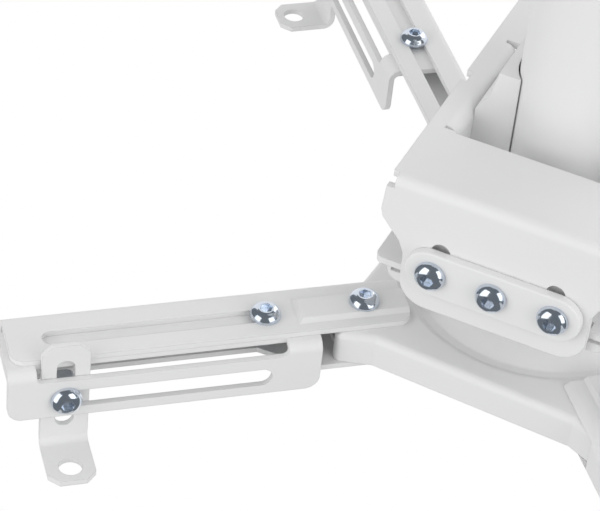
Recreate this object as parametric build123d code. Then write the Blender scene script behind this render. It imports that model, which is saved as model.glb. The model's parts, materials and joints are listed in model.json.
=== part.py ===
from build123d import *
import math
import os

# Ceiling mount for a projector: a pole comes down from a ceiling plate, a tilting yoke sits on
# its lower end, a swivelling spider base hangs below and four telescopic arms carry the feet.
# Frame: origin on the ceiling face, on the pole's axis. X runs along the yoke's front face,
# Y points from the front face to the back, Z points up. Everything is in millimetres.
# Each piece is first drawn with Z = 0 on the tilt screws and lowered by CEILING_DROP at the end.

CEILING_DROP = 200.0

# M6 hardware, the same for every clamp, pivot and slide
SCREW_R = 3.0
HEAD_R = 5.25
HEAD_H = 3.3
SOCKET_AF = 4.0
SOCKET_DEPTH = 1.9
NUT_AF = 10.0
NUT_H = 5.0
THREAD_OVER = 1.0
SHANK_BEVEL = 0.5
RUN_FIT = 0.05
FIXED_FIT = 0.1
SIDE_PLAY = 0.1

# ceiling plate and pole
PLATE_R = 60.0
PLATE_T = 4.0
CEILING_PCD = 90.0
CEILING_HOLES = 4
CEILING_HOLE_R = 3.25
COLLAR_H = 12.0
COLLAR_T = 3.5
COLLAR_FIT = 0.1
POLE_R = 20.0
POLE_WALL = 1.8
POLE_END = 10.0

# tilt yoke, an upside-down U of sheet
YOKE_T = 2.5
YOKE_BEND = 0.9
YOKE_HALF = 60.0
WEB_TOP = 30.7
WEB_HALF = 39.8
SHOULDER_OUT = 1.4
TONGUE_HALF = 32.0
OPEN_X = 30.0
OPEN_Y = 29.0
INNER_DEPTH = 20.0
INNER_BEND = 2.0
RELIEF = 1.5
FLANGE_BOTTOM = -16.8
FLANGE_CORNER = 9.5
TILT_RANGE = 20.0
TILT_PITCH = 20.9
ARC_W = 6.5
NICK_IN = 2.0
NICK_START = -1.0
NICK_W = 6.0
NOTCH_BACK = 3.6
NOTCH_DEEP = 4.3

# clamp plates outside the yoke
CLAMP_T = 3.0
CLAMP_R = 8.35

# pole shoe, a hollow bottle-shaped saddle between the yoke's inner flanges
SHOE_T = 3.0
SHOE_HALF_Y = 12.5
SHOE_TOP = 46.7
SHOE_NECK_X = 23.8
SHOE_SHOULDER = [(25.8, 36.3), (28.8, 32.6)]
SHOE_SHOULDER_LOW = 30.0
SHOE_GAP = 0.5
SHOE_BOLT_Z = 19.5
SHOE_CABLE_R = 9.0

# swivel bracket, an upright U inside the yoke
SWIVEL_T = 2.5
SWIVEL_BEND = 0.4
NUT_ROOM = 0.1
SWIVEL_TOP = -(NUT_AF / 2 + SWIVEL_BEND + NUT_ROOM)
SWIVEL_HALF_X = 42.5
SWIVEL_EDGE_BACK = 0.9
EAR_HALF_X = 30.0
EAR_TOP = 9.0
LIP_OUT = 38.0
LIP_BACK = 0.6
LIP_BOTTOM = -13.5
LIP_CORNER = 5.0
LIP_SLOT_H = 1.8
LIP_SLOT_IN = 1.5
SWIVEL_SHAFT_R = 5.0
SWIVEL_HEAD_R = 9.0
SWIVEL_HEAD_H = 4.5
SWIVEL_NUT_AF = 17.0
SWIVEL_NUT_H = 6.0
WASHER_T = 1.0
WASHER_R = 14.0

# spider base: pressed lid over a flat floor plate
BASE_TURN = -2.7
LID_T = 2.0
LID_TOP = -41.2
LID_H = 11.9
LID_BEND = 2.6
LID_X = 53.0
LID_Y = 57.0
PIVOT = 46.0
EAR_W = 14.4
EAR_TIP_W = 10.2
EAR_TIP = 12.1
MOUTH_SIDE = 3.0
DOME_TOP_R = 20.0
GROOVE_R = 46.5
FLOOR_T = 2.0
FLOOR_FIT = 0.3
FLOOR_HOLE_R = 16.0

# arms, all measured from the pivot outward
ARM_ANGLES = [219.3, 130.5, 46.0, 310.5]
ARM_PIVOTS = [(-1, -1), (-1, 1), (1, 1), (1, -1)]
REST_OUT = [0.0, 42.0, 0.0, 0.0]
ARM_NEAR = 10.0
ARM_FAR = 13.4
ARM_T = 2.0
ARM_BEND = 1.5
ARM_WALL_START = 12.6
ACCESS_R = 6.5
FLANGE_NEAR = 12.2
FLANGE_CUT = 0.25
FLANGE_CUT_START = 35.8
FLANGE_CUT_END = 107.5
FLANGE_SLANT = 1.38
ARM_INNER = -14.5
ARM_OUTER = 120.5
ARM_CORNER = 4.5
ARM_SLOT = (31.0, 109.0)
SLOT_W = 6.2
RIDGE_END = 24.0
RIDGE_H = 1.5
RIDGE_FLAT = 9.4
SLIDE_AT = 34.0

# rails, bent angles that slide out of the arms
RAIL_T = 2.0
RAIL_BEND = 1.8
RAIL_IN = 17.5
RAIL_END = 9.5
RAIL_FRONT = 14.3
RAIL_REAR = -7.5
RAIL_H = 19.8
RAIL_CORNER = 5.0
RAIL_REAR_CORNER = 2.5
WINDOW_START = 29.0
WINDOW_ROOM = 1.8
WINDOW_LOW = -45.7
RAIL_SLOT_START = 34.0
RAIL_SLOT_ROOM = 1.0
RAIL_SLOT_Z = -53.8
RAIL_SLOT_W = 7.0

# feet that carry the projector
FOOT_W = 16.0
FOOT_T = 2.0
FOOT_GAP = 0.1
FOOT_BEND = 2.5
FOOT_AT = 103.2
FOOT_TOP = -32.4
FOOT_BOTTOM = -76.0
FOOT_REACH = 19.2
FOOT_CORNER = 3.5
FOOT_SLOT = (-67.2, -38.9)
FOOT_HOLE_R = 4.0
FOOT_HOLE_N = 24.8

ear_outer = YOKE_HALF - YOKE_T - SIDE_PLAY
ear_inner = ear_outer - SWIVEL_T
clamp_inner = YOKE_HALF + SIDE_PLAY
clamp_outer = clamp_inner + CLAMP_T
swivel_low = SWIVEL_TOP - SWIVEL_T
dome_top = swivel_low - WASHER_T
lid_low = LID_TOP - LID_H
arm_top = LID_TOP + ARM_T
ridge_top = arm_top + RIDGE_H
foot_near = RAIL_FRONT - RAIL_T - FOOT_GAP - FOOT_T
window_end = FOOT_AT + FOOT_W / 2 + WINDOW_ROOM
rail_slot_end = FOOT_AT + RAIL_SLOT_W / 2 + RAIL_SLOT_ROOM
rail_out = window_end + RAIL_END
flange_top = lid_low - SIDE_PLAY


def rounded_path(points, radii):
    """Edges along a run of points with each inner corner replaced by an arc of its radius."""
    edges = []
    last = Vector(*points[0], 0)
    for i in range(1, len(points) - 1):
        here = Vector(*points[i], 0)
        back = (Vector(*points[i - 1], 0) - here).normalized()
        ahead = (Vector(*points[i + 1], 0) - here).normalized()
        turn = math.pi - math.acos(max(-1.0, min(1.0, back.dot(ahead))))
        tangent = radii[i] * math.tan(turn / 2)
        start = here + back * tangent
        end = here + ahead * tangent
        middle = (back + ahead).normalized()
        centre = here + middle * (radii[i] / math.cos(turn / 2))
        if (start - last).length > 1e-6:
            edges.append(Line(last, start))
        edges.append(ThreePointArc(start, centre - middle * radii[i], end))
        last = end
    finish = Vector(*points[-1], 0)
    if (finish - last).length > 1e-6:
        edges.append(Line(last, finish))
    return edges


def sheet_section(points, thickness, bend):
    """Section of a bent sheet. The points run along one face, the metal lies to their right."""
    other = []
    near_radii = [0.0]
    far_radii = [0.0]
    for i, point in enumerate(points):
        here = Vector(*point, 0)
        before = (here - Vector(*points[i - 1], 0)).normalized() if i > 0 else None
        after = (Vector(*points[i + 1], 0) - here).normalized() if i < len(points) - 1 else None
        first = before or after
        second = after or before
        right_a = Vector(first.Y, -first.X, 0)
        right_b = Vector(second.Y, -second.X, 0)
        middle = (right_a + right_b).normalized()
        shift = middle * (thickness / middle.dot(right_a))
        other.append((here.X + shift.X, here.Y + shift.Y))
        if before is not None and after is not None:
            turns_right = before.X * after.Y - before.Y * after.X < 0
            near_radii.append(bend + thickness if turns_right else bend)
            far_radii.append(bend if turns_right else bend + thickness)
    near = rounded_path(points, near_radii + [0.0])
    far = rounded_path(other[::-1], [0.0] + far_radii[:0:-1] + [0.0])
    ends = [Line(points[-1], other[-1]), Line(other[0], points[0])]
    return Face(Wire(near + ends + far))


def along_y(face, half):
    """Extrude a face drawn in X and Z to both sides along Y."""
    return extrude(Plane.XZ * face, amount=half, both=True)


def along_x(face, start, end):
    """Extrude a face drawn in Y and Z along X from start to end."""
    return Pos(start, 0, 0) * extrude(Plane.YZ * face, amount=end - start, dir=(1, 0, 0))


def box(x0, x1, y0, y1, z0, z1):
    """A box between two corners."""
    size = Box(x1 - x0, y1 - y0, z1 - z0)
    return Pos((x0 + x1) / 2, (y0 + y1) / 2, (z0 + z1) / 2) * size


def drill(radius, x, y, z0, z1):
    """An upright cylinder used as a hole cutter."""
    return Pos(x, y, (z0 + z1) / 2) * Cylinder(radius, z1 - z0)


def drill_y(radius, x, z, y0, y1):
    """A cylinder along Y used as a hole cutter."""
    return Pos(x, (y0 + y1) / 2, z) * Rot(90, 0, 0) * Cylinder(radius, y1 - y0)


def edges_where(shape, axis, test):
    """Straight edges along an axis whose middle passes a test."""
    return [e for e in shape.edges().filter_by(axis) if test(e.center())]


def button_screw(radius, head_r, head_h, socket, length):
    """Button head screw on the Z axis: the head's seat is at Z = 0, the shank points down."""
    rim = head_h * 0.22
    crown = head_r * 0.5
    tip = radius - SHANK_BEVEL
    side = [Line((0, -length), (tip, -length))]
    side.append(Line((tip, -length), (radius, SHANK_BEVEL - length)))
    side.append(Line((radius, SHANK_BEVEL - length), (radius, 0)))
    side.append(Line((radius, 0), (head_r, 0)))
    side.append(Line((head_r, 0), (head_r, rim)))
    side.append(ThreePointArc((head_r, rim), (head_r * 0.82, head_h * 0.74), (crown, head_h)))
    side.append(Line((crown, head_h), (0, head_h)))
    side.append(Line((0, head_h), (0, -length)))
    body = revolve(Plane.XZ * Face(Wire(side)), axis=Axis.Z)
    hexagon = RegularPolygon(radius=socket / math.sqrt(3), side_count=6)
    cutter = Pos(0, 0, head_h - SOCKET_DEPTH) * extrude(hexagon, amount=SOCKET_DEPTH + 1)
    return body - cutter


def m6_screw(length):
    """The M6 screw used for clamps, pivots and slides."""
    return button_screw(SCREW_R, HEAD_R, HEAD_H, SOCKET_AF, length)


def hex_nut(across, height, bore):
    """Hexagon nut on the Z axis whose top face is at Z = 0, both rims chamfered."""
    corner = across / math.sqrt(3)
    prism = extrude(RegularPolygon(radius=corner, side_count=6), amount=-height)
    blank = Pos(0, 0, -height / 2) * Cylinder(corner, height)
    blank = chamfer(blank.edges().filter_by(GeomType.CIRCLE), (corner - across / 2) * 0.85)
    return (prism & blank) - drill(bore, 0, 0, -height - 1, 1)


def m6_nut():
    """The nut that goes with the M6 screw."""
    return hex_nut(NUT_AF, NUT_H, SCREW_R)


def ceiling_plate():
    """Round plate against the ceiling with a collar round the pole."""
    top = CEILING_DROP
    plate = drill(PLATE_R, 0, 0, top - PLATE_T, top)
    plate = chamfer(plate.edges().filter_by(GeomType.CIRCLE).sort_by(Axis.Z)[0], 1.2)
    inner = POLE_R - POLE_WALL
    collar = drill(POLE_R + COLLAR_T, 0, 0, top - PLATE_T - COLLAR_H, top - PLATE_T)
    collar = chamfer(collar.edges().filter_by(GeomType.CIRCLE).sort_by(Axis.Z)[0], 1.5)
    collar -= drill(POLE_R + COLLAR_FIT, 0, 0, top - PLATE_T - COLLAR_H - 1, top - PLATE_T)
    part = plate + collar - drill(inner, 0, 0, top - PLATE_T - 1, top + 1)
    for k in range(CEILING_HOLES):
        turn = math.radians(45 + 360 / CEILING_HOLES * k)
        x = CEILING_PCD / 2 * math.cos(turn)
        y = CEILING_PCD / 2 * math.sin(turn)
        part -= drill(CEILING_HOLE_R, x, y, top - PLATE_T - 1, top + 1)
    return part


def pole():
    """Round tube from the ceiling plate down through the yoke's opening."""
    tube = drill(POLE_R, 0, 0, POLE_END, CEILING_DROP - PLATE_T)
    return tube - drill(POLE_R - POLE_WALL, 0, 0, POLE_END - 1, CEILING_DROP)


def pole_shoe():
    """Hollow saddle, wide between the yoke's inner flanges and narrow where it hugs the pole."""
    low = POLE_END - SHOE_T
    half = [(SHOE_NECK_X, SHOE_TOP)] + SHOE_SHOULDER + [(OPEN_X, SHOE_SHOULDER_LOW), (OPEN_X, low)]
    ring = half + [(-x, z) for x, z in half[::-1]]
    flat = make_face(Polyline(*ring, close=True))
    saddle = along_y(flat, SHOE_HALF_Y)
    saddle -= along_y(offset(flat, -SHOE_T), SHOE_HALF_Y - SHOE_T)
    saddle -= drill(POLE_R + SHOE_GAP, 0, 0, POLE_END, SHOE_TOP + 1)
    saddle -= drill(SHOE_CABLE_R, 0, 0, low - 1, POLE_END + 1)
    saddle -= Pos(0, 0, SHOE_BOLT_Z) * Rot(0, 90, 0) * Cylinder(SCREW_R + FIXED_FIT, 2 * OPEN_X + 2)
    return saddle


def shoe_bolts():
    """Two screws that clamp the saddle to the yoke's inner flanges, heads inside."""
    seat = OPEN_X - SHOE_T
    length = SHOE_T + YOKE_T + NUT_H + THREAD_OVER
    bolts = []
    for side in (1, -1):
        bolts.append(Pos(side * seat, 0, SHOE_BOLT_Z) * Rot(0, -90 * side, 0) * m6_screw(length))
    return bolts


def shoe_nuts():
    """Nuts of the saddle screws, outside the inner flanges."""
    face = OPEN_X + YOKE_T
    return [Pos(side * face, 0, SHOE_BOLT_Z) * Rot(0, -90 * side, 0) * m6_nut() for side in (1, -1)]


def yoke_outline():
    """Front view of the yoke: shoulders at the top, a narrow tongue with round corners below."""
    bulge = WEB_HALF + SHOULDER_OUT
    corner = WEB_HALF + SHOULDER_OUT / 2
    half = [(WEB_HALF, WEB_TOP), (WEB_HALF, 28.5), (corner, 26.4), (bulge, 17.0), (corner, 14.2)]
    half = half + [(bulge - 3.5, 10.9), (TONGUE_HALF + 2.0, 6.7), (TONGUE_HALF + 0.1, 2.5)]
    half = half + [(TONGUE_HALF, -7.0), (TONGUE_HALF, FLANGE_BOTTOM)]
    ring = half + [(-x, z) for x, z in half[::-1]]
    flat = make_face(Polyline(*ring, close=True))
    low = [v for v in flat.vertices() if v.Y < FLANGE_BOTTOM + 1]
    return fillet(low, FLANGE_CORNER)


def arc_slot(radius, width, half_angle, y0, y1):
    """Curved slot about the tilt axis on the +X side."""
    inner = radius - width / 2
    outer = radius + width / 2
    ring = drill_y(outer, 0, 0, y0, y1) - drill_y(inner, 0, 0, y0 - 1, y1 + 1)
    reach = 2 * outer
    tip = (reach, reach * math.tan(math.radians(half_angle)))
    wedge = make_face(Polyline((0, 0), tip, (tip[0], -tip[1]), close=True))
    slot = ring & (Pos(0, (y0 + y1) / 2, 0) * along_y(wedge, (y1 - y0) / 2))
    for turn in (half_angle, -half_angle):
        x = radius * math.cos(math.radians(turn))
        z = radius * math.sin(math.radians(turn))
        slot += drill_y(width / 2, x, z, y0, y1)
    return slot


def tilt_yoke():
    """Upside-down U of sheet with an opening for the pole and arc slots for the tilt screws."""
    h = YOKE_HALF
    deep = FLANGE_BOTTOM
    path = [(-h, deep), (-h, WEB_TOP), (h, WEB_TOP), (h, deep)]
    side = WEB_HALF + 5
    shell = along_x(sheet_section(path, YOKE_T, YOKE_BEND), -side, side)
    yoke = shell & along_y(yoke_outline(), h + 5)
    low = WEB_TOP - YOKE_T
    reach = OPEN_Y - 1.0
    edge = OPEN_X + INNER_BEND + YOKE_T
    yoke -= box(-OPEN_X, OPEN_X, -OPEN_Y, OPEN_Y, low - 1, WEB_TOP + 1)
    yoke -= box(-edge, edge, -reach, reach, low - 1, WEB_TOP + 1)
    run = [(OPEN_X, WEB_TOP - INNER_DEPTH), (OPEN_X, WEB_TOP), (edge, WEB_TOP)]
    flange = along_y(sheet_section(run, YOKE_T, INNER_BEND), reach - RELIEF)
    flange = fillet(edges_where(flange, Axis.X, lambda c: c.Z < WEB_TOP - INNER_DEPTH + 1), 5.0)
    flange -= Pos(OPEN_X, 0, SHOE_BOLT_Z) * Rot(0, 90, 0) * Cylinder(SCREW_R + FIXED_FIT, 20)
    nick = box(WEB_HALF - NICK_IN, WEB_HALF + 2, NICK_START, NICK_START + NICK_W, low - 1, WEB_TOP + 1)
    yoke += flange
    yoke += mirror(flange, about=Plane.YZ)
    yoke -= nick
    yoke -= mirror(nick, about=Plane.YZ)
    notch_low = WEB_TOP - NOTCH_DEEP
    notch = box(WEB_HALF - NICK_IN, WEB_HALF + 5, h - NOTCH_BACK, h + 1, notch_low, WEB_TOP + 1)
    for turned in (notch, mirror(notch, about=Plane.YZ)):
        yoke -= turned
        yoke -= mirror(turned, about=Plane.XZ)
    yoke -= drill_y(SCREW_R + RUN_FIT, 0, 0, -h - 1, h + 1)
    slot = arc_slot(TILT_PITCH, ARC_W, TILT_RANGE + 1, -h - 1, h + 1)
    yoke -= slot
    yoke -= mirror(slot, about=Plane.YZ)
    return yoke


def clamp_plate(face):
    """Long plate with round ends that the tilt screws press on the yoke; face is -1 for front."""
    half = CLAMP_R + TILT_PITCH + 0.75
    plate = Rot(90, 0, 0) * extrude(SlotOverall(2 * half, 2 * CLAMP_R), amount=CLAMP_T / 2, both=True)
    plate = Pos(0, face * (clamp_inner + CLAMP_T / 2), 0) * plate
    outer = plate.faces().sort_by(Axis.Y)[-1 if face > 0 else 0]
    plate = fillet(outer.edges(), 0.6)
    for k in (-1, 0, 1):
        plate -= drill_y(SCREW_R + FIXED_FIT, k * TILT_PITCH, 0, -clamp_outer - 1, clamp_outer + 1)
    return plate


def tilt_screws(face):
    """Three screws through a clamp plate, the yoke and the swivel bracket's ear."""
    length = clamp_outer - ear_inner + NUT_H + THREAD_OVER
    screw = Pos(0, face * clamp_outer, 0) * Rot(-90 * face, 0, 0) * m6_screw(length)
    return [Pos(k * TILT_PITCH, 0, 0) * screw for k in (-1, 0, 1)]


def tilt_nuts(face):
    """Nuts of the tilt screws on the inside of the ear."""
    nut = Pos(0, face * ear_inner, 0) * Rot(-90 * face, 0, 0) * m6_nut()
    return [Pos(k * TILT_PITCH, 0, 0) * nut for k in (-1, 0, 1)]


def swivel_bracket():
    """Upright U of sheet: a plate on the swivel bolt and an ear behind each yoke flange."""
    h = ear_outer
    path = [(h, EAR_TOP), (h, swivel_low), (-h, swivel_low), (-h, EAR_TOP)]
    strap = along_x(sheet_section(path, SWIVEL_T, SWIVEL_BEND), -EAR_HALF_X, EAR_HALF_X)
    strap = fillet(edges_where(strap, Axis.Y, lambda c: c.Z > EAR_TOP - 1), 5.0)
    edge = h - SWIVEL_EDGE_BACK
    plate = box(-SWIVEL_HALF_X, SWIVEL_HALF_X, -edge, edge, swivel_low, SWIVEL_TOP)
    plate = fillet(edges_where(plate, Axis.Z, lambda c: True), 3.0)
    slot_x = EAR_HALF_X + RELIEF
    for side in (1, -1):
        for face in (1, -1):
            x0 = min(side * EAR_HALF_X, side * slot_x)
            y0 = min(face * (h - 6.0), face * (h + 1))
            plate -= box(x0, x0 + RELIEF, y0, y0 + 7.0, swivel_low - 1, SWIVEL_TOP + 1)
    plate -= box(-EAR_HALF_X, EAR_HALF_X, -edge - 1, -h + 5, swivel_low - 1, SWIVEL_TOP + 1)
    plate -= box(-EAR_HALF_X, EAR_HALF_X, h - 5, edge + 1, swivel_low - 1, SWIVEL_TOP + 1)
    part = plate + strap
    lip_y = edge - LIP_BACK
    lip = box(slot_x, LIP_OUT, lip_y - SWIVEL_T, lip_y, LIP_BOTTOM, swivel_low)
    lip = fillet(edges_where(lip, Axis.Y, lambda c: c.Z < LIP_BOTTOM + 1 and c.X > LIP_OUT - 1), LIP_CORNER)
    slot_end = LIP_OUT - LIP_SLOT_IN
    lip -= box(slot_x - 1, slot_end, lip_y - SWIVEL_T - 1, lip_y + 1, swivel_low - LIP_SLOT_H, swivel_low - 0.3)
    for turned in (lip, mirror(lip, about=Plane.YZ)):
        part += turned
        part += mirror(turned, about=Plane.XZ)
    part -= drill(SWIVEL_SHAFT_R + FIXED_FIT, 0, 0, swivel_low - 1, SWIVEL_TOP + 1)
    for k in (-1, 0, 1):
        part -= drill_y(SCREW_R + FIXED_FIT, k * TILT_PITCH, 0, -h - 1, h + 1)
    return part


def swivel_washer():
    """Thin washer between the swivel bracket and the dome of the base."""
    ring = drill(WASHER_R, 0, 0, dome_top, swivel_low)
    return ring - drill(SWIVEL_SHAFT_R + FIXED_FIT, 0, 0, dome_top - 1, swivel_low + 1)


def swivel_bolt():
    """Bolt on the swivel axis, head on the bracket's plate."""
    length = SWIVEL_TOP - dome_top + LID_T + SWIVEL_NUT_H + 2
    bolt = button_screw(SWIVEL_SHAFT_R, SWIVEL_HEAD_R, SWIVEL_HEAD_H, 6.0, length)
    return Pos(0, 0, SWIVEL_TOP) * bolt


def swivel_nut():
    """Lock nut of the swivel bolt, inside the dome."""
    return Pos(0, 0, dome_top - LID_T) * hex_nut(SWIVEL_NUT_AF, SWIVEL_NUT_H, SWIVEL_SHAFT_R)


def base_outline():
    """Plan of the spider base: a rectangle with a short ear toward each arm."""
    skew = math.sqrt(0.5)
    root = PIVOT + EAR_W * skew
    side_y = PIVOT - EAR_W * skew
    tip_far = PIVOT + (EAR_TIP + EAR_TIP_W) * skew
    tip_near = PIVOT + (EAR_TIP - EAR_TIP_W) * skew
    start = side_y - (root - LID_X)
    quarter = [(LID_X, start), (root, side_y), (tip_far, tip_near), (tip_near, tip_far), (side_y, LID_Y)]
    ring = quarter + [(-x, y) for x, y in quarter[::-1]]
    ring = ring + [(x, -y) for x, y in ring[::-1]]
    flat = make_face(Polyline(*ring, close=True))
    return fillet(flat.vertices(), 2.5)


def dome_section():
    """Half section of the pressed dish and dome, from the axis to the groove ring."""
    points = [(0, dome_top), (DOME_TOP_R, dome_top), (DOME_TOP_R + 4, dome_top - 3.5), (36, -37.0)]
    points = points + [(43.5, LID_TOP - 1.2), (GROOVE_R, LID_TOP - 1.2), (GROOVE_R + 2, LID_TOP)]
    points = points + [(GROOVE_R + 4, LID_TOP)]
    return sheet_section(points, LID_T, 1.2)


def base_lid():
    """Pressed lid: skirt all round, ears open at their ends, a dome up to the swivel washer."""
    flat = base_outline()
    lid = Pos(0, 0, lid_low) * extrude(flat, amount=LID_H)
    lid = fillet(lid.faces().sort_by(Axis.Z)[-1].edges(), LID_BEND)
    inside = offset(flat, -LID_T)
    lid -= Pos(0, 0, lid_low - 1) * extrude(inside, amount=LID_H - LID_T + 1)
    ring_r = GROOVE_R + 3
    lid -= drill(ring_r, 0, 0, lid_low - 5, LID_TOP + 5)
    dome = revolve(Plane.XZ * dome_section(), axis=Axis.Z)
    dome &= drill(ring_r, 0, 0, lid_low - 5, dome_top + 1)
    lid += dome
    lid -= drill(SWIVEL_SHAFT_R + RUN_FIT, 0, 0, dome_top - 5, dome_top + 1)
    for sx, sy in ARM_PIVOTS:
        turn = math.degrees(math.atan2(sy, sx))
        half = EAR_TIP_W - MOUTH_SIDE
        mouth = box(EAR_TIP - 3, EAR_TIP + 5, -half, half, lid_low - 1, LID_TOP - LID_T - 0.6)
        lid -= Pos(sx * PIVOT, sy * PIVOT, 0) * Rot(0, 0, turn) * mouth
        lid -= drill(SCREW_R + FIXED_FIT, sx * PIVOT, sy * PIVOT, lid_low - 1, LID_TOP + 1)
    return Rot(0, 0, BASE_TURN) * lid


def base_floor():
    """Flat plate inside the skirt that closes the lid from below, open under the swivel nut."""
    flat = offset(base_outline(), -LID_T - FLOOR_FIT)
    floor = Pos(0, 0, lid_low) * extrude(flat, amount=FLOOR_T)
    floor -= drill(FLOOR_HOLE_R, 0, 0, lid_low - 1, lid_low + FLOOR_T + 1)
    return Rot(0, 0, BASE_TURN) * floor


def pivot_point(index):
    """Place of an arm's pivot after the base's rest turn."""
    sx, sy = ARM_PIVOTS[index]
    turn = math.radians(BASE_TURN)
    x = sx * PIVOT * math.cos(turn) - sy * PIVOT * math.sin(turn)
    y = sx * PIVOT * math.sin(turn) + sy * PIVOT * math.cos(turn)
    return x, y


def pivot_screws():
    """The four screws on which the arms turn."""
    length = ridge_top - LID_TOP + LID_T + NUT_H + THREAD_OVER
    return [Pos(*pivot_point(i), ridge_top) * m6_screw(length) for i in range(4)]


def pivot_nuts():
    """Nuts of the pivot screws, under the lid."""
    return [Pos(*pivot_point(i), LID_TOP - LID_T) * m6_nut() for i in range(4)]


def placed(shape, index, out):
    """Put a piece drawn along X from its pivot onto an arm, slid out by the arm's rest."""
    moved = Pos(REST_OUT[index] if out else 0, 0, 0) * shape
    return Pos(*pivot_point(index), 0) * Rot(0, 0, ARM_ANGLES[index]) * moved


def slot_cutter(start, end, width, z0, z1):
    """Upright slot cutter along X between two outer ends."""
    slot = SlotOverall(end - start, width)
    return Pos((start + end) / 2, 0, z0) * extrude(slot, amount=z1 - z0)


def arm():
    """Bent channel: slotted top with a hollow pressed ridge, far wall and a notched lower flange."""
    low = flange_top - ARM_T
    path = [(FLANGE_NEAR, low), (-ARM_FAR, low), (-ARM_FAR, arm_top), (ARM_NEAR, arm_top)]
    part = along_x(sheet_section(path, ARM_T, ARM_BEND), ARM_INNER, ARM_OUTER)
    part = fillet(edges_where(part, Axis.Z, lambda c: c.Y > ARM_NEAR - 1 and c.Z > LID_TOP), ARM_CORNER)
    part -= box(ARM_INNER - 1, ARM_WALL_START, -ARM_FAR - 1, -ARM_NEAR / 2, flange_top, LID_TOP)
    slant = (FLANGE_NEAR + 1 - FLANGE_CUT) * FLANGE_SLANT
    lip = foot_near - NUT_H - THREAD_OVER - 4 * SIDE_PLAY
    lip_slant = (lip - FLANGE_CUT) * FLANGE_SLANT
    cut = [(FLANGE_CUT_START - slant, FLANGE_NEAR + 1), (FLANGE_CUT_START, FLANGE_CUT)]
    cut = cut + [(FLANGE_CUT_END, FLANGE_CUT), (FLANGE_CUT_END + lip_slant, lip)]
    cut = cut + [(ARM_OUTER + 1, lip), (ARM_OUTER + 1, FLANGE_NEAR + 1)]
    part -= Pos(0, 0, low - 1) * extrude(make_face(Polyline(*cut, close=True)), amount=ARM_T + 2)
    part -= drill(ACCESS_R, 0, 0, low - 1, flange_top + 1)
    span = ARM_OUTER - ARM_INNER
    flat = Pos((ARM_OUTER + ARM_INNER) / 2, 0, LID_TOP) * Rectangle(span, 2 * ARM_NEAR)
    flat = fillet(flat.vertices(), ARM_CORNER)
    reach = 2 * (RIDGE_END - ARM_INNER + 10)
    foot_w = RIDGE_FLAT + 2 * RIDGE_H
    middle = RIDGE_END - reach / 2
    ridge = extrude(Pos(middle, 0, arm_top) * Rectangle(reach, foot_w), amount=RIDGE_H, taper=45)
    hollow = Pos(middle, 0, LID_TOP) * Rectangle(reach - ARM_T * 0.8, foot_w - ARM_T * 0.8)
    hollow = extrude(hollow, amount=RIDGE_H, taper=45)
    part += ridge & extrude(flat, amount=ARM_T + RIDGE_H)
    part -= hollow
    part -= slot_cutter(ARM_SLOT[0], ARM_SLOT[1], SLOT_W, LID_TOP - 1, arm_top + 1)
    part -= drill(SCREW_R + RUN_FIT, 0, 0, LID_TOP - 1, ridge_top + 1)
    return part


def rail():
    """Bent angle inside an arm: slotted front wall and a window cut through the bend."""
    path = [(RAIL_REAR, LID_TOP), (RAIL_FRONT, LID_TOP), (RAIL_FRONT, LID_TOP - RAIL_H)]
    part = along_x(sheet_section(path, RAIL_T, RAIL_BEND), RAIL_IN, rail_out)
    part = fillet(edges_where(part, Axis.Y, lambda c: c.Z < LID_TOP - RAIL_H + 1), RAIL_CORNER)
    part = fillet(edges_where(part, Axis.Z, lambda c: c.Y < RAIL_REAR + 1), RAIL_REAR_CORNER)
    window = box(WINDOW_START, window_end, ARM_NEAR, RAIL_FRONT + 2, WINDOW_LOW, LID_TOP + 2)
    window = fillet(edges_where(window, Axis.Y, lambda c: c.Z < WINDOW_LOW + 1), 2.0)
    part -= window
    slot = SlotOverall(rail_slot_end - RAIL_SLOT_START, RAIL_SLOT_W)
    slot = Rot(90, 0, 0) * extrude(slot, amount=2 * RAIL_T, both=True)
    part -= Pos((RAIL_SLOT_START + rail_slot_end) / 2, RAIL_FRONT, RAIL_SLOT_Z) * slot
    part -= drill(SCREW_R + FIXED_FIT, SLIDE_AT, 0, LID_TOP - 5, LID_TOP + 1)
    return part


def slide_screw():
    """Screw that clamps a rail under its arm, head on the arm."""
    length = ARM_T + RAIL_T + NUT_H + THREAD_OVER
    return Pos(SLIDE_AT, 0, arm_top) * m6_screw(length)


def slide_nut():
    """Nut of the slide screw, under the rail's top."""
    return Pos(SLIDE_AT, 0, LID_TOP - RAIL_T) * m6_nut()


def foot():
    """Bent tab: upright slotted plate behind the rail's wall and a flat ear with the hole."""
    end = RAIL_FRONT - RAIL_T - FOOT_GAP + FOOT_REACH
    path = [(end, FOOT_BOTTOM), (foot_near, FOOT_BOTTOM), (foot_near, FOOT_TOP)]
    part = along_x(sheet_section(path, FOOT_T, FOOT_BEND), FOOT_AT - FOOT_W / 2, FOOT_AT + FOOT_W / 2)
    part = chamfer(edges_where(part, Axis.Y, lambda c: c.Z > FOOT_TOP - 1), FOOT_CORNER)
    part = chamfer(edges_where(part, Axis.Z, lambda c: c.Y > end - 1), FOOT_CORNER)
    middle = (FOOT_SLOT[0] + FOOT_SLOT[1]) / 2
    slot = SlotOverall(FOOT_SLOT[1] - FOOT_SLOT[0], 2 * (SCREW_R + RUN_FIT))
    slot = Rot(90, 0, 0) * Rot(0, 0, 90) * extrude(slot, amount=6, both=True)
    part -= Pos(FOOT_AT, foot_near, middle) * slot
    part -= drill(FOOT_HOLE_R, FOOT_AT, FOOT_HOLE_N, FOOT_BOTTOM - 1, FOOT_BOTTOM + FOOT_T + 1)
    return part


def foot_screw():
    """Screw that clamps a foot to the rail's front wall, head outside."""
    length = RAIL_FRONT - foot_near + NUT_H + THREAD_OVER
    return Pos(FOOT_AT, RAIL_FRONT, RAIL_SLOT_Z) * Rot(-90, 0, 0) * m6_screw(length)


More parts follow.
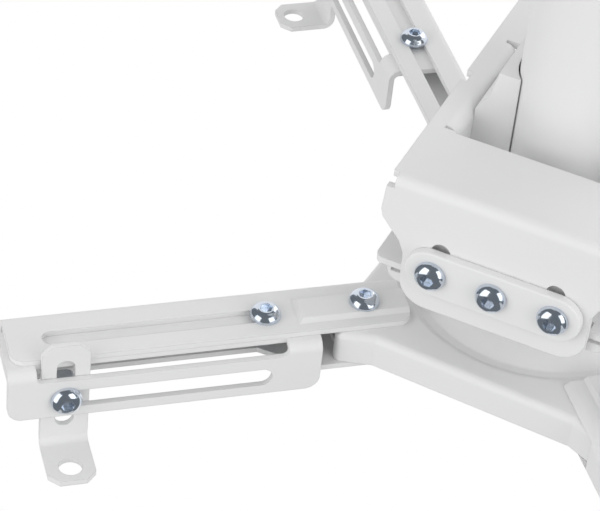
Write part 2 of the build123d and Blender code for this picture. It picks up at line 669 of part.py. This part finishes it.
def foot_nut():
    """Nut of the foot screw, inside the channel."""
    return Pos(FOOT_AT, foot_near, RAIL_SLOT_Z) * Rot(-90, 0, 0) * m6_nut()


def save(name, shape):
    """Write one node, lowered from the tilt axis to the ceiling origin."""
    if isinstance(shape, list):
        shape = Compound(children=[s if isinstance(s, Solid) else s.solid() for s in shape])
    export_step(Pos(0, 0, -CEILING_DROP) * shape, "parts/" + name + ".step")


os.makedirs("parts", exist_ok=True)
save("ceiling_plate", ceiling_plate())
save("pole", pole())
save("pole_shoe", pole_shoe())
save("shoe_bolts", shoe_bolts())
save("shoe_nuts", shoe_nuts())
save("tilt_yoke", tilt_yoke())
for side_name, face in (("front", -1), ("back", 1)):
    save("clamp_plate_" + side_name, clamp_plate(face))
    save("tilt_screws_" + side_name, tilt_screws(face))
    save("tilt_nuts_" + side_name, tilt_nuts(face))
save("swivel_bracket", swivel_bracket())
save("swivel_washer", swivel_washer())
save("swivel_bolt", swivel_bolt())
save("swivel_nut", swivel_nut())
save("base_lid", base_lid())
save("base_floor", base_floor())
save("pivot_screws", pivot_screws())
save("pivot_nuts", pivot_nuts())
arm_shape = arm()
sliding = {"rail": rail(), "slide_screw": slide_screw(), "slide_nut": slide_nut()}
sliding.update({"foot": foot(), "foot_screw": foot_screw(), "foot_nut": foot_nut()})
for index in range(4):
    save("arm_%d" % (index + 1), placed(arm_shape, index, False))
    for name, shape in sliding.items():
        save("%s_%d" % (name, index + 1), placed(shape, index, True))
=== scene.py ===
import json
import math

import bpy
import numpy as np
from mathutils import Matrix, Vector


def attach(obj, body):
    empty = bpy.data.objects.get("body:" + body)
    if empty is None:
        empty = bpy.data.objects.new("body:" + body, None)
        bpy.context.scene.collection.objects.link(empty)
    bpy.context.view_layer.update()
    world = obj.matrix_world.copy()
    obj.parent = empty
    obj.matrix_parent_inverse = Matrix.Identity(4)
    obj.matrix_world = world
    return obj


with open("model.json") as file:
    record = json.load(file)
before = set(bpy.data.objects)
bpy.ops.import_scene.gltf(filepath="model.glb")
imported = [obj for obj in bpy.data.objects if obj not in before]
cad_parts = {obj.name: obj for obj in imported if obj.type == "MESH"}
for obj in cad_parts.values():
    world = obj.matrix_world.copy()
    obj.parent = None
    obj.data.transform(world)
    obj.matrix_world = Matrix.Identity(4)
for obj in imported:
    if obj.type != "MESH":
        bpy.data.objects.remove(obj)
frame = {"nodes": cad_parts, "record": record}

# %% [markdown]
# # A projector ceiling mount, its lower end seen close from above
#
# The real object is bent and pressed from white powder-coated sheet steel and held together by
# bright zinc-plated screws. All of that metal was drawn as solids and is loaded above as a fixed
# frame. What is left for Blender is the finish of each surface, one weld bead that the solids
# leave out, the light of a photo studio, and the camera.

MM = 0.001
WHITE = (1.0, 1.0, 1.0, 1.0)
scene = bpy.context.scene
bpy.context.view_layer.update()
nodes = frame["nodes"]
slots = {part["node"]: part["material_slot"] for part in frame["record"]["subparts"]}

# %% [markdown]
# ## Writing shader maths as Python
#
# A material is a small program made of nodes. Linked one by one, Math nodes hide what they
# compute. So a socket is wrapped in a small class here: adding or multiplying two wrapped sockets
# makes the Math node behind the scenes, and the formula stays readable.

# %% A socket that takes part in Python arithmetic


class Num:
    """A socket that carries a number; arithmetic on it adds Math nodes to its tree."""

    def __init__(self, maker, socket):
        self.maker = maker
        self.socket = socket

    def _math(self, operation, first, second):
        node = self.maker.add("ShaderNodeMath", {"operation": operation}, {0: first, 1: second})
        return Num(self.maker, node.outputs[0])

    def __add__(self, other):
        return self._math("ADD", self, other)

    def __radd__(self, other):
        return self._math("ADD", other, self)

    def __sub__(self, other):
        return self._math("SUBTRACT", self, other)

    def __rsub__(self, other):
        return self._math("SUBTRACT", other, self)

    def __mul__(self, other):
        return self._math("MULTIPLY", self, other)

    def __rmul__(self, other):
        return self._math("MULTIPLY", other, self)


# %% [markdown]
# ## One maker for every node tree
#
# Materials, the floor's paper and the world are all node trees. One method adds any node: it
# takes the node's type, its settings, and the values or links of its sockets. Named helpers then
# say what the trees of this lesson need: cloudy noise in real coordinates, a raised skin, and who
# is looking. The Mix node has a set of sockets for each kind of value, so the places of its
# colour sockets are named.

# %% The maker of node trees
EDGE_SAMPLES = 6
MIX_FACTOR = 0
MIX_FIRST_COLOUR = 6
MIX_SECOND_COLOUR = 7
MIX_COLOUR_OUT = 2


class Maker:
    """Adds nodes to the cleared tree of a new material or world."""

    def __init__(self, owner):
        self.owner = owner
        owner.use_nodes = True
        self.tree = owner.node_tree
        self.tree.nodes.clear()

    def add(self, kind, settings=None, inputs=None):
        """Add a node, set its settings first, then give its sockets values or links."""
        node = self.tree.nodes.new(kind)
        for key, value in (settings or {}).items():
            setattr(node, key, value)
        for key, value in (inputs or {}).items():
            if isinstance(value, Num):
                value = value.socket
            if isinstance(value, bpy.types.NodeSocket):
                self.tree.links.new(value, node.inputs[key])
            else:
                node.inputs[key].default_value = value
        return node

    def noise(self, per_metre, detail=2.0, rough=0.5):
        """Cloudy noise from 0 to 1, with that many blobs per metre of the real piece."""
        place = self.add("ShaderNodeTexCoord").outputs["Object"]
        sockets = {"Vector": place, "Scale": per_metre, "Detail": detail, "Roughness": rough}
        return Num(self, self.add("ShaderNodeTexNoise", None, sockets).outputs[0])

    def relief(self, height, strength, distance, edge_radius):
        """A normal that follows a height, on top of edges rounded for the light only."""
        edge = self.add("ShaderNodeBevel", {"samples": EDGE_SAMPLES}, {"Radius": edge_radius})
        sockets = {"Strength": strength, "Distance": distance, "Height": height}
        sockets["Normal"] = edge.outputs[0]
        return self.add("ShaderNodeBump", None, sockets).outputs[0]

    def looked_at(self):
        """One for a ray from the camera, from a mirror or through glass, and zero for light."""
        path = self.add("ShaderNodeLightPath")
        eye = Num(self, path.outputs["Is Camera Ray"])
        mirror = Num(self, path.outputs["Is Glossy Ray"])
        glass = Num(self, path.outputs["Is Transmission Ray"])
        return eye + mirror + glass

    def surface(self, **sockets):
        """Close a material with one Principled shader."""
        values = {name.replace("_", " "): value for name, value in sockets.items()}
        shader = self.add("ShaderNodeBsdfPrincipled", None, values)
        self.add("ShaderNodeOutputMaterial", None, {"Surface": shader.outputs[0]})
        return self.owner


# %% [markdown]
# ## White powder coat
#
# Powder is sprayed on dry and melted in an oven. It flows into a film about 0.08 mm thick with a
# very fine, slightly wavy skin, and it softens every cut edge of the sheet. An image texture could
# carry that, but noise in real metres keeps its scale on every part. One noise of half a
# millimetre gives the skin's waves, a finer one its grain, and a slow one makes broad patches a
# little darker and less glossy. The Bevel node rounds the edges for the light only, as the molten
# film does.

# %% Powder coat material
COAT = (0.80, 0.80, 0.80)
COAT_IOR = 1.5
COAT_ROUGH = 0.40
FILM_EDGE = 0.45 * MM
FILM_WAVE = 0.03 * MM
FILM_BUMP = 0.35
WAVES_PER_M = 1900.0
WAVES_SHARE = 0.6
FILM_GRAIN_PER_M = 5200.0
PATCHES_PER_M = 38.0
PATCH_SHADE = 0.03
PATCH_ROUGH = 0.10
SKIN_ROUGH = 0.05


def powder_coat(name, colour):
    """Waves and a finer grain raise the film; broad patches vary its shade and its gloss."""
    make = Maker(bpy.data.materials.new(name))
    waves = make.noise(WAVES_PER_M, detail=1.0)
    grain = make.noise(FILM_GRAIN_PER_M)
    skin = waves * WAVES_SHARE + grain * (1 - WAVES_SHARE)
    patches = make.noise(PATCHES_PER_M, detail=3.0)
    shade = 1.0 - PATCH_SHADE * patches
    tint = make.add("ShaderNodeVectorMath", {"operation": "SCALE"}, {0: colour, "Scale": shade})
    rough = COAT_ROUGH + PATCH_ROUGH * patches + SKIN_ROUGH * skin
    normal = make.relief(skin, FILM_BUMP, FILM_WAVE, FILM_EDGE)
    return make.surface(Base_Color=tint.outputs[0], Roughness=rough, Normal=normal, IOR=COAT_IOR)


coat = powder_coat("white powder coat", COAT)
print("powder coat uses", len(coat.node_tree.nodes), "nodes")

# %% [markdown]
# ## Bright zinc plating
#
# The screws are steel with a thin zinc layer, passivated so that it shines with a cool tint that
# drifts from place to place. A metal has no shade of its own: it is only what it mirrors, times a
# colour. So the tint goes into Base Color, the roughness stays low, and a faint grain in the
# normal breaks the mirror image up a little.

# %% Zinc material
ZINC_EDGE = 0.12 * MM
ZINC_GRAIN = 0.01 * MM
ZINC_BUMP = 0.25
DRIFT_PER_M = 420.0
ZINC_GRAIN_PER_M = 6000.0
DRIFT_ROUGH = 0.10
GRAIN_ROUGH = 0.05
SCREW_PALE = (0.78, 0.80, 0.83, 1.0)
SCREW_BLUE = (0.56, 0.65, 0.78, 1.0)
SCREW_ROUGH = 0.07
NUT_PALE = (0.66, 0.68, 0.70, 1.0)
NUT_BLUE = (0.52, 0.56, 0.62, 1.0)
NUT_ROUGH = 0.26


def zinc(name, pale, blue, least_rough):
    """Two tints mixed by a slow noise, over a roughness that the same noise and a grain vary."""
    make = Maker(bpy.data.materials.new(name))
    drift = make.noise(DRIFT_PER_M)
    grain = make.noise(ZINC_GRAIN_PER_M, detail=3.0, rough=0.7)
    tints = {MIX_FACTOR: drift, MIX_FIRST_COLOUR: pale, MIX_SECOND_COLOUR: blue}
    tint = make.add("ShaderNodeMix", {"data_type": "RGBA"}, tints).outputs[MIX_COLOUR_OUT]
    rough = least_rough + DRIFT_ROUGH * drift + GRAIN_ROUGH * grain
    normal = make.relief(grain, ZINC_BUMP, ZINC_GRAIN, ZINC_EDGE)
    return make.surface(Base_Color=tint, Metallic=1.0, Roughness=rough, Normal=normal)


screw_finish = zinc("bright zinc screws", SCREW_PALE, SCREW_BLUE, SCREW_ROUGH)
nut_finish = zinc("plain zinc nuts", NUT_PALE, NUT_BLUE, NUT_ROUGH)
print("zinc tints for", screw_finish.name, "and", nut_finish.name)

# %% [markdown]
# ## Dressing the solids
#
# Each solid came with the name of a finish in its record. The shapes are right as they are, so
# only their material changes.

# %% Give every solid the finish that its record names
finishes = {"white_coat": coat, "screw_zinc": screw_finish, "nut_zinc": nut_finish}
for name, piece in nodes.items():
    piece.data.materials.clear()
    piece.data.materials.append(finishes[slots[name]])
print("finishes given to", len(nodes), "nodes")

# %% [markdown]
# ## From a grid of points to a mesh
#
# New surfaces are worked out with numpy: two parameters run along the rows and columns of a
# grid, and each formula is applied to the whole array at once. The faces only join neighbours,
# so they come from the same grid of point numbers, shifted by one.

# %% Helper that joins a grid of points


def grid_mesh(name, points, closed):
    """A mesh of a grid of points; where closed, rows and columns both come back to their start."""
    rows, columns = points.shape[:2]
    index = np.arange(rows * columns).reshape(rows, columns)
    right = np.roll(index, -1, axis=1)
    below = np.roll(index, -1, axis=0)
    corner = np.roll(right, -1, axis=0)
    quads = np.stack([index, right, corner, below], axis=-1)
    if not closed:
        quads = quads[:-1, :-1]
    mesh = bpy.data.meshes.new(name)
    mesh.from_pydata(points.reshape(-1, 3).tolist(), [], quads.reshape(-1, 4).tolist())
    mesh.polygons.foreach_set("use_smooth", np.ones(len(mesh.polygons), bool))
    mesh.update()
    piece = bpy.data.objects.new(name, mesh)
    scene.collection.objects.link(piece)
    return piece


# %% [markdown]
# ## Weld bead under the ceiling plate
#
# The collar that takes the pole is welded to the ceiling plate before both are coated. A weld
# freezes in small overlapping scales, one for each step of the torch. A swept circle with a wavy
# radius gives that at little cost: its outer quarter shows in the corner between collar and
# plate, and the rest lies inside the metal.

# %% Weld bead
COLLAR_R = 23.5 * MM
PLATE_UNDER = -4.0 * MM
BEAD_R = 2.1 * MM
BEAD_THIN = 0.90
BEAD_SWELL = 0.12
BEAD_SINK = 0.2 * MM
SCALES = 34
POINTS_PER_SCALE = 8
BEAD_COLUMNS = 16


def weld_bead(name):
    """A ring swept by a circle; each scale swells as a sine to the power of one half and sinks."""
    around = np.linspace(0, 2 * math.pi, SCALES * POINTS_PER_SCALE, endpoint=False)[:, None]
    across = np.linspace(0, 2 * math.pi, BEAD_COLUMNS, endpoint=False)[None, :]
    scale = np.sqrt(np.abs(np.sin(around * SCALES / 2)))
    radius = BEAD_R * (BEAD_THIN + BEAD_SWELL * scale)
    reach = COLLAR_R + BEAD_SINK + radius * np.cos(across)
    height = PLATE_UNDER - BEAD_SINK + radius * np.sin(across)
    return grid_mesh(name, np.stack([reach * np.cos(around), reach * np.sin(around), height], -1), True)


bead = weld_bead("collar_weld")
bead.data.materials.append(coat)
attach(bead, "hanger")
print("weld bead has", len(bead.data.polygons), "faces")

# %% [markdown]
# ## Camera
#
# The photograph looks down at 40 degrees, from 20 degrees to the right of straight ahead, and the
# camera was tipped a little to one side. Fitting a pinhole camera to the straight edges of the
# sheet gave its place, its turn and its focal length; they are written here as real sizes.

# %% Camera from its azimuth, elevation, roll and place
AZIMUTH = 20.57
ELEVATION = 39.91
ROLL = -6.5
CAMERA_PLACE = Vector((172.0, -696.0, 354.4)) * MM
FOCAL = 163.0
SENSOR = 36.0
NEAR = 0.01
FAR = 50.0


def camera_axes(azimuth, elevation, roll):
    """Right, up and backward directions of a camera, turned about its own line of sight."""
    a = math.radians(azimuth)
    e = math.radians(elevation)
    r = math.radians(roll)
    right = Vector((math.cos(a), math.sin(a), 0))
    up = Vector((-math.sin(a) * math.sin(e), math.cos(a) * math.sin(e), math.cos(e)))
    turned_right = right * math.cos(r) - up * math.sin(r)
    turned_up = right * math.sin(r) + up * math.cos(r)
    return turned_right, turned_up, turned_right.cross(turned_up)


right, up, back = camera_axes(AZIMUTH, ELEVATION, ROLL)
lens = bpy.data.cameras.new("camera")
lens.lens = FOCAL
lens.sensor_width = SENSOR
lens.clip_start = NEAR
lens.clip_end = FAR
camera = bpy.data.objects.new("camera", lens)
camera.matrix_world = Matrix.Translation(CAMERA_PLACE) @ Matrix((right, up, back)).transposed().to_4x4()
scene.collection.objects.link(camera)
scene.camera = camera
print("camera looks along", [round(-v, 3) for v in back])

# %% [markdown]
# ## The white room
#
# The photo stands on pure white, as catalogue pictures do. More light would burn the object out,
# so the room is white only to the eye: the world is white for rays from the camera or a mirror,
# and dimmer for the light that it gives. The paper floor does the same and still takes the
# object's shadow.

# %% World
AMBIENT = 0.705
scene.view_settings.view_transform = "Standard"
scene.world = bpy.data.worlds.new("studio")
room = Maker(scene.world)
light = room.add("ShaderNodeBackground", None, {"Color": WHITE, "Strength": AMBIENT})
white = room.add("ShaderNodeBackground", None, {"Color": WHITE, "Strength": 1.0})
room_sides = {0: room.looked_at(), 1: light.outputs[0], 2: white.outputs[0]}
mixed_room = room.add("ShaderNodeMixShader", None, room_sides)
room.add("ShaderNodeOutputWorld", None, {"Surface": mixed_room.outputs[0]})
print("room light", AMBIENT)

# %% Paper floor
FLOOR_DEPTH = 2.4
FLOOR_HALF = 6.0
PAPER = (0.8, 0.8, 0.8, 1.0)
span = np.array([-FLOOR_HALF, FLOOR_HALF])
across, along = np.meshgrid(span, span)
floor = grid_mesh("floor", np.stack([across, along, np.full_like(across, -FLOOR_DEPTH)], -1), False)
paper = Maker(bpy.data.materials.new("white paper floor"))
diffuse = paper.add("ShaderNodeBsdfDiffuse", None, {"Color": PAPER})
glow = paper.add("ShaderNodeEmission", None, {"Color": WHITE, "Strength": 1.0})
paper_sides = {0: paper.looked_at(), 1: diffuse.outputs[0], 2: glow.outputs[0]}
mixed_paper = paper.add("ShaderNodeMixShader", None, paper_sides)
paper.add("ShaderNodeOutputMaterial", None, {"Surface": mixed_paper.outputs[0]})
floor.data.materials.append(paper.owner)
print("floor", FLOOR_DEPTH, "m below the ceiling")

# %% [markdown]
# ## Soft boxes and the dark side of the studio
#
# The screw heads are small mirrors, and they show where the light came from: one soft box ahead on
# the left, one on the right, and a dark room behind the camera. Following the mirror images back
# from the round heads gave the directions of both boxes. A third box behind the mount keeps its
# far side from going dull when that side is looked at.
#
# A curved dark screen stands for the dark side of the room. Only mirror-like rays meet it, so it
# shades the metal and the coat's faint sheen but takes none of the soft light, and the white
# background still shows in metal that faces the other way.

# %% Soft boxes
CENTRE = Vector((0, 0, -0.22))


def toward(azimuth, elevation):
    """Unit direction from its angle off straight ahead, to the right, and its angle upwards."""
    a = math.radians(azimuth)
    e = math.radians(elevation)
    return Vector((math.sin(a) * math.cos(e), -math.cos(a) * math.cos(e), math.sin(e)))


def soft_box(name, direction, distance, size, power):
    """A rectangular lamp that looks at the mount's lower end from a direction."""
    lamp = bpy.data.lights.new(name, "AREA")
    lamp.shape = "RECTANGLE"
    lamp.size, lamp.size_y = size
    lamp.energy = power
    holder = bpy.data.objects.new(name, lamp)
    holder.location = CENTRE + direction * distance
    holder.rotation_euler = direction.to_track_quat("Z", "Y").to_euler()
    scene.collection.objects.link(holder)
    print(name, "at", [round(v, 2) for v in holder.location])


soft_box("left soft box", toward(-34, 12), distance=1.0, size=(0.72, 1.10), power=3.6)
soft_box("right soft box", toward(70, 22), distance=1.3, size=(0.90, 1.25), power=5.8)
soft_box("rear soft box", toward(165, 30), distance=1.5, size=(0.90, 0.90), power=3.2)

# %% Dark screen behind the camera
SCREEN_R = 2.2
SCREEN_SIDE = 115
SCREEN_LOW = -80
SCREEN_HIGH = 135
SCREEN_STEPS = 48
SCREEN_TINT = (0.88, 0.94, 1.0, 1.0)
SCREEN_GLOW = 0.2


def dark_screen(name):
    """Part of a ball: the rows turn from left to right, the columns rise from low to past overhead."""
    turn = np.radians(np.linspace(-SCREEN_SIDE, SCREEN_SIDE, SCREEN_STEPS))[:, None]
    rise = np.radians(np.linspace(SCREEN_LOW, SCREEN_HIGH, SCREEN_STEPS))[None, :]
    x = SCREEN_R * np.sin(turn) * np.cos(rise)
    y = -SCREEN_R * np.cos(turn) * np.cos(rise)
    z = SCREEN_R * np.sin(rise) + 0 * turn
    return grid_mesh(name, np.stack([x, y, z + CENTRE.z], -1), False)


screen = dark_screen("dark screen")
cloth = Maker(bpy.data.materials.new("dark cloth"))
dim = cloth.add("ShaderNodeEmission", None, {"Color": SCREEN_TINT, "Strength": SCREEN_GLOW})
cloth.add("ShaderNodeOutputMaterial", None, {"Surface": dim.outputs[0]})
screen.data.materials.append(cloth.owner)
screen.visible_camera = False
screen.visible_diffuse = False
screen.visible_shadow = False
print("dark screen has", len(screen.data.polygons), "faces")
